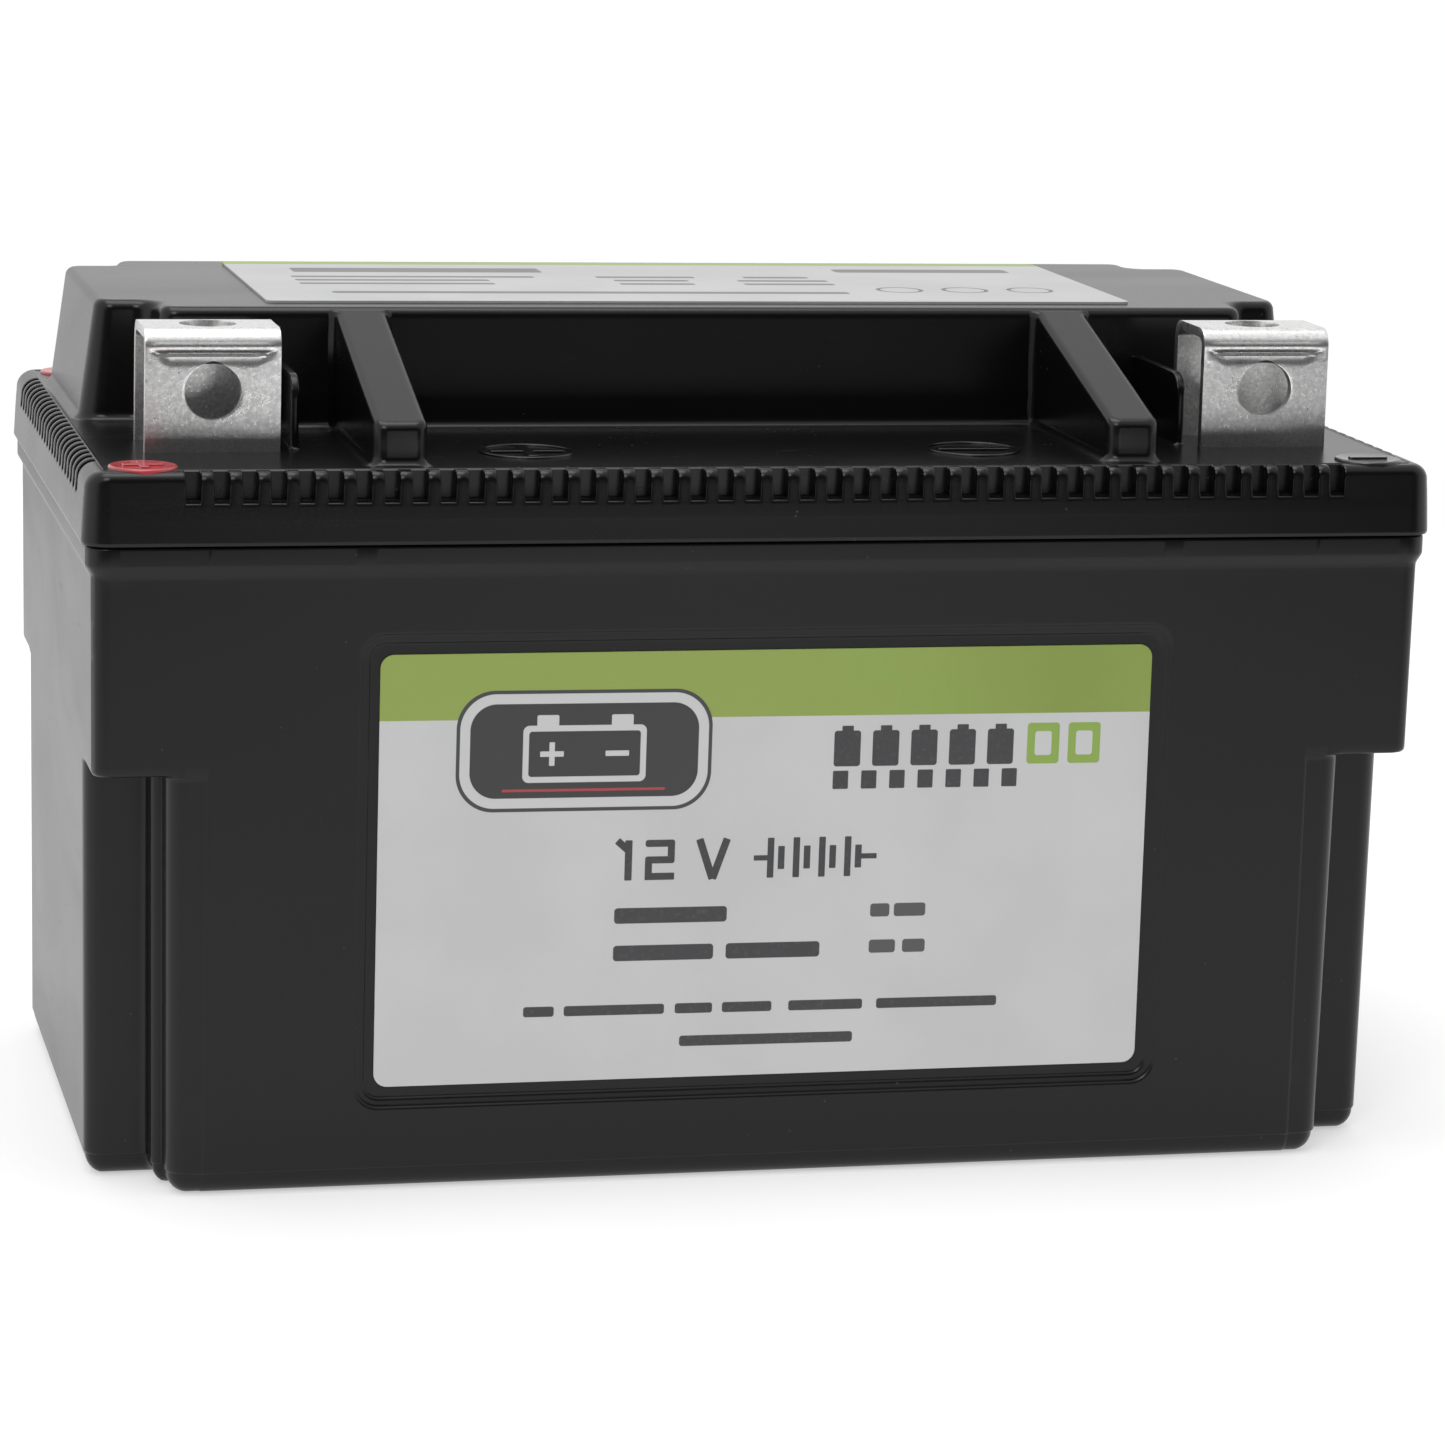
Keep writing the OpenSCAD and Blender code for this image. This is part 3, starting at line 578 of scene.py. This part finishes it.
def lid_shell():
    """Skirt, comb and deck as one profile carried round the rim: a line is either a bar's profile or a slot's,
    and a bar's profile is drawn in by its rounding beside a slot."""
    corners = [(-HX, -HY), (HX, -HY), (HX, HY), (-HX, HY)]
    long_at, long_cut, long_round = comb_lines(43)
    end_at, end_cut, end_round = comb_lines(23)
    stations = [long_at, end_at, long_at, end_at]
    base = rounded(corners, np.full(4, CORNER), 0, stations)
    normal = base - rounded(corners, np.full(4, CORNER), 1, stations)
    none = np.zeros(ARC + 1)
    cut = np.concatenate([none, long_cut, none, end_cut] * 2)
    soft = np.concatenate([none, long_round, none, end_round] * 2)
    turn = np.linspace(0, np.pi / 2, 8)[1:-1]
    # profiles are (distance in from the skirt, height); every one starts with the skirt and ends with the lip
    low = [(0.34, SEAM), (0.1, SEAM + 0.1), (0.0, SEAM + 0.34), (0.01, SEAM + 0.5), (0.115, 73.85),
           (0.12, 74.0), (0.127, 74.15), (0.2, COMB_FLOOR - 0.45), (0.22, COMB_FLOOR - 0.25)]
    lip = [(2.28, DECK), (2.34, DECK + 0.06), (2.46, DECK + 0.06), (LIP, DECK)]

    def rolled(r, start):
        """A bar: up the skirt, over an edge of radius r, and level to the lip."""
        c, z = start + r, DECK - r
        side = [(0.24, COMB_FLOOR + 0.3), (start - 0.02, z - 0.5), (start, z)]
        roll = [(c - r * math.cos(t), z + r * math.sin(t)) for t in turn]
        return np.array(low + side + roll + [(min(c, 2.24), DECK)] + lip)

    def notch(cut):
        """A slot: inwards along its floor and up its rear wall to the lip."""
        f = COMB_FLOOR
        sole = [(0.27, f - 0.08), (0.38, f), (0.8, f), (1.2, f), (1.6, f)]
        rear = [(cut - 0.25, f + 0.02), (cut - 0.07, f + 0.1), (cut, f + 0.3), (cut, 77.6), (cut, DECK - 0.12)]
        return np.array(low + sole + rear + lip)

    long_bar, end_bar, long_slot, end_slot = rolled(1.1, 0.35), rolled(1.9, 0.32), notch(CUT), notch(CUT + 0.12)
    share = (normal[:, 0] ** 2)[None]

    def mix(a, b, axis):
        """From the long side's profile to the end's, round the corner."""
        return a[:, axis:axis + 1] * (1 - share) + b[:, axis:axis + 1] * share

    lean = np.gradient(long_bar, axis=0)
    lean = np.column_stack([lean[:, 1], -lean[:, 0]]) / np.linalg.norm(lean, axis=1)[:, None]
    weight = np.clip(long_bar[:, 1] - COMB_FLOOR, 0, 1) * np.clip((2.26 - long_bar[:, 0]) / 0.3, 0, 1)

    def carried(axis):
        """One value of every profile, at every point of the rim."""
        bar = mix(long_bar, end_bar, axis) + soft[None] * (lean[:, axis:axis + 1] * weight[:, None])
        return np.where(cut[None] > 0, mix(long_slot, end_slot, axis), bar)

    skirt = np.concatenate([base[None] - carried(0)[..., None] * normal[None], carried(1)[..., None]], -1)
    rim = base - LIP * normal

    def spread(hx, hy, y=0):
        """The rim stretched to those half sizes."""
        return np.column_stack([rim[:, 0] * hx / (HX - LIP), rim[:, 1] * hy / (HY - LIP) + y])

    # the hole under the raised block, the deck's underside and the inside of the skirt
    hole, under, wall = spread(62.8, 24.2, BLOCK_Y), spread(71, 39.5), base - WALL * normal
    inside = [level(hole, DECK), level(hole, DECK - WALL), level(under, DECK - WALL), level(under, DECK - 3.5),
              level(wall, 73.9), level(wall, SEAM)]
    return loft(np.concatenate([skirt, np.array(inside)]), closed=True)


piece("lid_shell", lid_shell(), black_lid, ["lid"])

# raised block: its stepped plan, how far its end faces lean in, and the radius of its top edge
BLOCK = [(-63.8, -10), (63.8, -10), (63.8, -3.4), (71.3, -3.4), (71.3, 34.8), (63.8, 34.8), (63.8, 40.4),
         (-63.8, 40.4), (-63.8, 34.8), (-71.3, 34.8), (-71.3, -3.4), (-63.8, -3.4)]
END_LEAN, CROWN = 0.95, 1.1


def raised_block():
    """The stepped plan carried up a drafted wall, with a hollow fillet at its foot and a rounded top edge.
    The end faces lean in more than the others."""
    radius = np.array([2.6, 2.6, 2.2, 3.0, 3.0, 2.2] * 2)
    step = [np.zeros(0)] * 2
    stations = ([np.linspace(-60, 60, 25)] + step + [np.linspace(-15, 15, 7)] + step) * 2

    def ring(inset, z, lean=0.0):
        o = rounded(BLOCK, radius, inset, stations)
        o[:, 0] -= np.sign(o[:, 0]) * lean * np.clip((np.abs(o[:, 0]) - BLOCK[1][0]) / 7, 0, 1)
        return level(o, z)

    quarter = np.linspace(0, np.pi / 2, 7)
    middle, centre = ring(2.8, 0)[:, :2], (0, BLOCK_Y)
    rings = [pole(middle, RAISED - WALL, centre), ring(2.8, RAISED - WALL, END_LEAN),
             ring(2.2, DECK - SUNK), ring(-1.0, DECK - SUNK)]
    rings += [ring(-1 + math.sin(a), DECK + 1 - math.cos(a)) for a in quarter]
    rise = RAISED - 1 - CROWN - DECK
    rings += [ring(0.6 * t, DECK + 1 + rise * t, END_LEAN * t) for t in (0.02, 0.5, 0.98)]
    rings += [ring(0.6 + CROWN - CROWN * math.cos(a), RAISED - CROWN + CROWN * math.sin(a), END_LEAN)
              for a in quarter]
    rings += [ring(2.0, RAISED, END_LEAN), ring(4, RAISED, END_LEAN), pole(middle, RAISED, centre)]
    return loft(np.array(rings))


piece("raised_block", raised_block(), black_lid)


def web(x, half, front, radius, edge, foot, top, stations, steps):
    """A wall that runs forward from the raised block: its plan is carried up to a top that follows y,
    with a hollow fillet at the deck and against the block, and a rounded upper edge. The first and the last
    ring narrow to a slit whose sides merge, which closes the mesh."""
    rear, slit = -8.6, 0.0005
    plan = [(-half, front), (half, front), (half, rear), (-half, rear)]
    radii = np.array([radius, radius, 0.05, 0.05])
    side = np.asarray(stations, float) - (front + rear) / 2
    rail = [np.zeros(0), side, np.zeros(0), -side[::-1]]

    def ring(inset, rise, share):
        o = rounded(plan, radii, min(inset, half - slit), rail)
        z = DECK + rise + (top(o[:, 1]) - DECK) * share
        wall = BLOCK[0][1] + 0.047 * (z - DECK)
        near = np.clip((o[:, 1] - wall + foot) / foot, 0, 0.995)
        o[:, 0] += np.sign(o[:, 0]) * foot * (1 - np.sqrt(1 - near ** 2)) * (inset < half - 0.01)
        o[:, 0] += x
        return level(o, z)

    quarter = np.linspace(0, np.pi / 2, 6)
    rings = [level(rounded(plan, radii, half - slit, rail) + (x, 0), DECK - SUNK), ring(-foot, -SUNK, 0)]
    rings += [ring(foot * (math.sin(a) - 1), foot * (1 - math.cos(a)), 0) for a in quarter]
    rings += [ring(0, foot * (1 - t) - edge * t, t) for t in (0.3, 0.6, 1.0)]
    rings += [ring(edge * (1 - math.cos(a)), -edge + edge * math.sin(a), 1) for a in quarter[1:]]
    rings += [ring(i, 0, 1) for i in steps] + [ring(half, 0, 1)]
    return loft(np.array(rings))


def rib_top(y):
    """Height of a rib: a straight slope down from the block."""
    return np.minimum(92.5 + (y + 9.3) * 0.29, 92.5)


def fin_top(y):
    """Height of a fin: level, with a quarter circle of 2.5 at the front."""
    return DECK + 5.6 + np.sqrt(np.maximum(2.5 ** 2 - np.minimum(y + 23.8, 0) ** 2, 0.0))


RIB_LINES = [-37.9, -37, -34, -28, -22, -16, -12.2, -11.2, -11, -10.8, -10.6, -10.4, -10.2, -10.05, -9.9,
             -9.7, -9.5, -9.2]
FIN_LINES = [-26.2, -26, -25.7, -25.3, -24.8, -24.2, -23.6, -20, -14, -11, -10.6, -10.4, -10.2, -10, -9.8,
             -9.6, -9.2]
for side, name in ((-1, "left"), (1, "right")):
    rib = web(side * 40.8, 2.9, -39.5, 1.4, 0.75, 1.0, rib_top, RIB_LINES, (0.95, 1.2, 1.5, 1.9, 2.4))
    piece("deck_rib_" + name, rib, black_lid)
    fin = web(side * 50.4, 0.45, -26.3, 0.35, 0.2, 0.4, fin_top, FIN_LINES, (0.3,))
    piece("deck_fin_" + name, fin, black_lid)


def turned(profile, x, y, steps=56):
    """A profile of (radius, height) turned about an upright axis."""
    a = np.linspace(0, 2 * np.pi, steps, endpoint=False)
    p = np.asarray(profile, float)
    ring = np.stack([np.cos(a), np.sin(a)], -1)
    flat = p[:, :1, None] * ring[None] + (x, y)
    return loft(np.concatenate([flat, np.broadcast_to(p[:, 1:, None], (*flat.shape[:2], 1))], -1))


def sign(plus, size, w, h, x, y, z):
    """Raised plus or minus with a softened edge: its outline drawn in as it rises."""
    s, t, sink = size / 2, w / 2, 0.1
    minus = [(-s, -t), (s, -t), (s, t), (-s, t)]
    cross = [(-t, -s), (t, -s), (t, -t), (s, -t), (s, t), (t, t), (t, s), (-t, s), (-t, t), (-s, t),
             (-s, -t), (-t, -t)]
    plan = cross if plus else minus
    r = np.where(np.arange(len(plan)) % 3 == 2, 0.12, 0.22) if plus else np.full(4, 0.22)
    steps = [(0, -sink), (0, h * 0.55), (0.03, h * 0.8), (0.1, h * 0.96), (0.2, h)]
    flat = rounded(plan, r)
    rings = [level(rounded(plan, r, i), z + rise) for i, rise in steps]
    rings = np.array([pole(flat, z - sink), *rings, pole(flat, z + h)])
    rings[..., :2] += (x, y)
    return loft(rings)


def deck_mark(x, plus):
    """A thin raised ring on the deck with a plus or minus in it."""
    y = -29.3
    bead = [(5.29, -0.1), (5.29, 0.1), (5.21, 0.2), (5.07, 0.25), (4.93, 0.2), (4.85, 0.1), (4.85, -0.1),
            (5.29, -0.1)]
    circle = turned([(r, DECK + h) for r, h in bead], x, y)
    return joined(circle, sign(plus, 8.3, 1.2, 0.26, x, y, DECK))


for x, name in ((-25.3, "plus"), (25.3, "minus")):
    piece("deck_mark_" + name, deck_mark(x, name == "plus"), black_lid)

# ---------- polarity discs ----------

def disc(x, y, plus):
    """A low button with a rolled edge and a shallow dish, and its raised sign."""
    top = sides("negative_discs")[1][2] - 0.15
    profile = [(0, DECK - SUNK), (3.7, DECK - SUNK), (3.7, DECK + 0.08), (3.66, top - 0.12),
               (3.56, top - 0.03), (3.4, top), (3.15, top - 0.02), (2.8, top - 0.06), (1.5, top - 0.08),
               (0, top - 0.08)]
    return joined(turned(profile, x, y), sign(plus, 4.4, 1.0, 0.17, x, y, top - 0.02))


def button(name, dark, pale, fleck):
    """Glossy moulded plastic with a slow swirl and small pale flecks."""
    f = Finish(name, Coat_Weight=0.5, Coat_Roughness=0.08)
    swirl = f.noise(2.6, 4, 0.6, 1.5)
    speck = f.noise(0.25, 2, 0.6)
    tone = f.blend(swirl.above(0.3, 0.7), dark, pale)
    tone = f.blend(speck.above(0.66, 0.8) * 0.6, tone, fleck)
    return f.done(tone, 0.22 + 0.14 * swirl, f.relief(swirl, 0.05))


red = button("gloss red button", (0.35, 0.026, 0.034), (0.46, 0.046, 0.056), (0.75, 0.3, 0.32))
black = button("gloss black button", (0.006, 0.006, 0.006), (0.01, 0.01, 0.0105), (0.04, 0.04, 0.04))
for node, finish, slot in (("positive_discs", red, "disc_red"), ("negative_discs", black, "disc_black")):
    low, high = sides(node)
    x, y = (low[0] + high[0]) / 2, high[1] - (high[0] - low[0]) / 2
    plus = node.startswith("positive")
    piece(node + "_turned", joined(disc(x, -y, plus), disc(x, y, plus)), finish, [node])

# ---------- terminals ----------

SHEET = 1.1                                # thickness of the terminals' metal


def terminal(node):
    """A strip folded over itself: (u, w) on the strip, w running up the front plate, round a bend, along the
    top, round the second bend and down the rear plate. Round each hole the grid runs from a rectangle to the
    circle."""
    low, high = sides(node)
    x, half, t = (low[0] + high[0]) / 2, (high[0] - low[0]) / 2, SHEET
    yf, z1 = low[1] + t / 2, high[2]
    z0, ro = DECK - 0.2, 2.0
    rm = ro - t / 2
    # lengths of the five stretches, where each ends, and the holes as (w, radius, half of the grid's square)
    run = [z1 - ro - z0, rm * np.pi / 2, high[1] - low[1] - 2 * ro, rm * np.pi / 2, z1 - ro - low[2]]
    ends = np.cumsum(run)
    tail = ends[3] + (z1 - ro) - (DECK - 6.4)
    holes = [(DECK + 6.6 - z0, 3.1, 3.5), ((ends[1] + ends[2]) / 2, 3.1, 3.5), (tail, 2.1, 2.7)]

    def fold(u, w):
        """Where a point of the strip comes to lie."""
        a, b = np.clip((w - ends[0]) / rm, 0, np.pi / 2), np.clip((w - ends[2]) / rm, 0, np.pi / 2)
        y = yf + rm * (1 - np.cos(a)) + np.clip(w - ends[1], 0, run[2]) + rm * np.sin(b)
        z = z0 + np.clip(w, 0, run[0]) + rm * np.sin(a) - rm * (1 - np.cos(b)) - np.clip(w - ends[3], 0, run[4])
        # coined groove under the front bend, its ends cut off on the slant
        q = np.clip((w - (ends[0] - 1.75)) / 0.6, 0, 1) * np.clip((ends[0] - 0.2 - w) / 0.35, 0, 1)
        q = q * np.clip((half - 0.9 - np.abs(u) - 0.8 * (ends[0] - w) * 0.5) / 0.4, 0, 1)
        # and a raised line across the bend's start
        ridge = np.exp(-((w - ends[0] - 0.02) / 0.2) ** 2) * np.clip((half - 0.6 - np.abs(u)) / 0.3, 0, 1)
        return np.stack([x + u, y + 0.3 * q - 0.12 * ridge, z], -1)

    def lines_of(u, w):
        return np.column_stack(np.broadcast_arrays(u, w))

    across = np.concatenate([[-half, -half + 0.35, -half + 0.7], np.linspace(-half + 1.3, half - 1.3, 19),
                             [half - 0.7, half - 0.35, half]])
    extra = ends[0] + np.array([-1.9, -1.75, -1.5, -1.2, -0.9, -0.6, -0.45, -0.3, -0.15, 0, 0.12, 0.25, 0.45])
    parts, at = [], 0.0
    for w, r, h in holes:
        bends = [ends[0] + run[1] * np.linspace(0.28, 1, 7), ends[2] + run[3] * np.linspace(0, 1, 9)]
        lines = np.unique(np.round(np.concatenate([[at, w - h], extra, *bends]), 4))
        lines = lines[(lines >= at - 1e-6) & (lines <= w - h + 1e-4)]
        u, v = np.meshgrid(across, lines)
        parts.append(loft(fold(u, v), around=False))
        up = np.linspace(w - h, w + h, 13)
        edge = np.concatenate([lines_of(across, w - h), lines_of(half, up[1:-1]),
                               lines_of(across[::-1], w + h), lines_of(-half, up[-2:0:-1])])
        off = edge - (0, w)
        circle = off / np.linalg.norm(off, axis=1)[:, None] * r + (0, w)
        k = np.array([0, 0.25, 0.5, 0.75, 0.92, 1.0])[:, None, None]
        round_hole = edge[None] * (1 - k) + circle[None] * k
        parts.append(loft(fold(round_hole[..., 0], round_hole[..., 1])))
        at = w + h
    u, v = np.meshgrid(across, [at, ends[4]])
    parts.append(loft(fold(u, v), around=False))
    return joined(*parts)


for node in ("terminal_positive", "terminal_negative"):
    piece(node + "_plate", terminal(node), tin, [node], bend=50, wall=SHEET, edge=0.16)

# ---------- finishes of the pieces that keep their CAD shape ----------

kept = {
    "front_label": front_print(), "top_label": top_print(),
    "seam_ring": plain("black ring plastic", (0.03, 0.03, 0.032), (0.045, 0.045, 0.047), 0.5, 0.8),
    "terminal_seal_positive": plain("cast resin", (0.2, 0.075, 0.03), (0.3, 0.12, 0.05), 0.3, 2.0, 0.03,
                                    Coat_Weight=0.4),
    "cell_foam": plain("closed cell foam", (0.68, 0.65, 0.52), (0.8, 0.77, 0.66), 0.9, 0.7, 0.12),
    "floor_pad": plain("rubber sheet", (0.02, 0.02, 0.022), (0.04, 0.04, 0.043), 0.75, 0.6, 0.05),
    "tape_bands": plain("glass fibre tape", (0.55, 0.48, 0.22), (0.72, 0.65, 0.36), 0.45, 0.5, 0.06,
                        stretch=(14, 1, 1)),
    "busbar_frame": plain("blue frame plastic", (0.03, 0.08, 0.15), (0.045, 0.11, 0.2), 0.42, 0.7),
    "cell_1": plain("laminate film", (0.36, 0.39, 0.43), (0.5, 0.53, 0.57), 0.3, 3.5, 0.12, 0.6),
    "cell_tabs_positive": plain("rolled aluminium", (0.68, 0.68, 0.7), (0.8, 0.8, 0.82), 0.34, 0.4, 0.02, 1.0,
                                (1, 1, 9)),
    "cell_tabs_negative": plain("nickel on copper", (0.55, 0.34, 0.2), (0.68, 0.46, 0.31), 0.36, 0.4, 0.02, 1.0,
                                (1, 1, 9)),
    "busbar_1_2": plain("punched copper", (0.62, 0.28, 0.13), (0.76, 0.41, 0.23), 0.32, 0.5, 0.02, 1.0,
                        (1, 8, 1)),
    "lead_screws": plain("zinc plate", (0.46, 0.46, 0.48), (0.6, 0.6, 0.62), 0.33, 0.6, 0.02, 1.0),
    "control_board": plain("green solder mask", (0.012, 0.09, 0.03), (0.02, 0.13, 0.045), 0.35, 1.6, 0.03,
                           Coat_Weight=0.3),
    "power_transistors": plain("epoxy package", (0.012, 0.012, 0.013), (0.02, 0.02, 0.022), 0.55, 0.3),
    "board_capacitors": plain("blue sleeve", (0.02, 0.03, 0.16), (0.03, 0.05, 0.24), 0.3, 1.2),
    "balance_plug": plain("natural nylon", (0.72, 0.67, 0.52), (0.82, 0.78, 0.64), 0.5, 0.8),
    "balance_wires": plain("red wire sleeve", (0.36, 0.012, 0.014), (0.5, 0.02, 0.024), 0.45, 1.0),
}
# nodes that share another one's finish
same = {"terminal_seal_negative": "terminal_seal_positive", "side_pads": "floor_pad", "cell_2": "cell_1",
        "cell_3": "cell_1", "cell_4": "cell_1", "busbar_2_3": "busbar_1_2", "busbar_3_4": "busbar_1_2",
        "positive_lead": "busbar_1_2", "negative_lead": "busbar_1_2", "board_screws": "lead_screws"}
for node in [*kept, *same]:
    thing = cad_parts[node]
    thing.data.materials.clear()
    thing.data.materials.append(kept[same.get(node, node)])

# ---------- floor, light and camera ----------

def floor(radius=470, drop=0.05, glow_strength=0.5):
    """A level round light table, just under the part."""
    r, a = np.meshgrid([0, 200, 350, radius], np.linspace(0, 2 * np.pi, 97), indexing="ij")
    points, faces = loft(np.stack([r * np.cos(a), r * np.sin(a), np.full_like(r, -drop)], -1), around=False)
    mesh = bpy.data.meshes.new("studio_floor")
    mesh.from_pydata((points * 0.001).tolist(), [], faces.tolist())
    made = bpy.data.objects.new("studio_floor", mesh)
    bpy.context.scene.collection.objects.link(made)
    f = Finish("pale studio floor", Emission_Strength=glow_strength)
    cloth = f.noise(60, 3)
    glow = f.blend(cloth, (0.98, 0.98, 0.98), (1.0, 1.0, 1.0))
    tone = f.blend(cloth, (0.49, 0.49, 0.49), (0.51, 0.51, 0.51))
    mesh.materials.append(f.done(tone, 0.7 + 0.1 * cloth, Emission_Color=glow))


def lamp(name, at, towards, width, height, power):
    """A soft box facing a point, in metres and watts."""
    light = bpy.data.lights.new(name, "AREA")
    light.shape, light.size, light.size_y, light.energy = "RECTANGLE", width, height, power
    made = bpy.data.objects.new(name, light)
    bpy.context.scene.collection.objects.link(made)
    back = np.array(at, float) - towards
    made.location = at
    made.rotation_mode = "QUATERNION"
    made.rotation_quaternion = Vector(back).to_track_quat("Z", "Y")


def studio():
    """Surroundings that are pale behind, above and to the left, and darker on the side of the camera.
    The camera itself sees plain white."""
    world = bpy.data.worlds.new("studio")
    bpy.context.scene.world = world
    world.use_nodes = True
    s = Shop(world.node_tree)
    way = s.node("ShaderNodeTexCoord", out="Generated")
    split = s.tree.nodes.new("ShaderNodeSeparateXYZ")
    s.tree.links.new(way.socket, split.inputs[0])
    x, y, z = [Wire(s, o) for o in split.outputs]
    behind = (y + x * x * 0.25 + z * 0.45).above(-0.62, -0.1)
    strength = 0.05 + behind * (0.82 + (0 - x).above(0.2, 0.9) * 0.15)
    light = s.node("ShaderNodeBackground", {}, {"Color": (1, 1, 1, 1), "Strength": strength})
    seen = s.node("ShaderNodeBackground", {}, {"Color": (1, 1, 1, 1), "Strength": 1.0})
    eye = s.node("ShaderNodeLightPath", out="Is Camera Ray")
    both = s.node("ShaderNodeMixShader", {}, {0: eye, 1: light, 2: seen})
    end = s.tree.nodes.new("ShaderNodeOutputWorld")
    s.tree.links.new(both.socket, end.inputs[0])


FRAME, SENSOR = 1445, 36                   # width of the frame, and of the sensor in millimetres


def camera():
    """Stands in front and to the left, a little above, level with the part but for a slight roll."""
    azimuth, height, roll = -0.2283, 0.1668, 0.0276          # in radians
    distance, aim_x, aim_z = 585.8403, 3.7413, 59.8896       # in millimetres
    focal, centre_x, centre_y = 5014.39, 721.5, 578.5        # in units of which the frame is FRAME wide
    back = np.array([math.sin(azimuth) * math.cos(height), -math.cos(azimuth) * math.cos(height),
                     math.sin(height)])
    right = np.cross(-back, (0, 0, 1))
    right /= np.linalg.norm(right)
    up = np.cross(right, -back)
    r = math.cos(roll) * right + math.sin(roll) * up
    u = -math.sin(roll) * right + math.cos(roll) * up
    place = (np.array([aim_x, 0, aim_z]) + back * distance) * 0.001
    data = bpy.data.cameras.new("camera")
    data.sensor_width, data.lens = SENSOR, focal * SENSOR / FRAME
    data.shift_x, data.shift_y = (FRAME / 2 - centre_x) / FRAME, (centre_y - FRAME / 2) / FRAME
    data.clip_start, data.clip_end = 0.05, 30
    made = bpy.data.objects.new("camera", data)
    bpy.context.scene.collection.objects.link(made)
    made.matrix_world = Matrix([[r[i], u[i], back[i], place[i]] for i in range(3)] + [[0, 0, 0, 1]])
    bpy.context.scene.camera = made


floor()
studio()
lamp("overhead soft box", (-0.1, 0.05, 1.0), (0, 0, 0), 0.7, 0.7, 4.5)
lamp("front key", (-0.45, -0.85, 0.95), (0, 0, 0.04), 0.5, 0.5, 4)
lamp("low front panel", (0.12, -0.61, 0.004), (0.12, -0.61, 1), 0.2, 0.32, 0.5)
camera()
bpy.context.scene.view_settings.view_transform = "Standard"
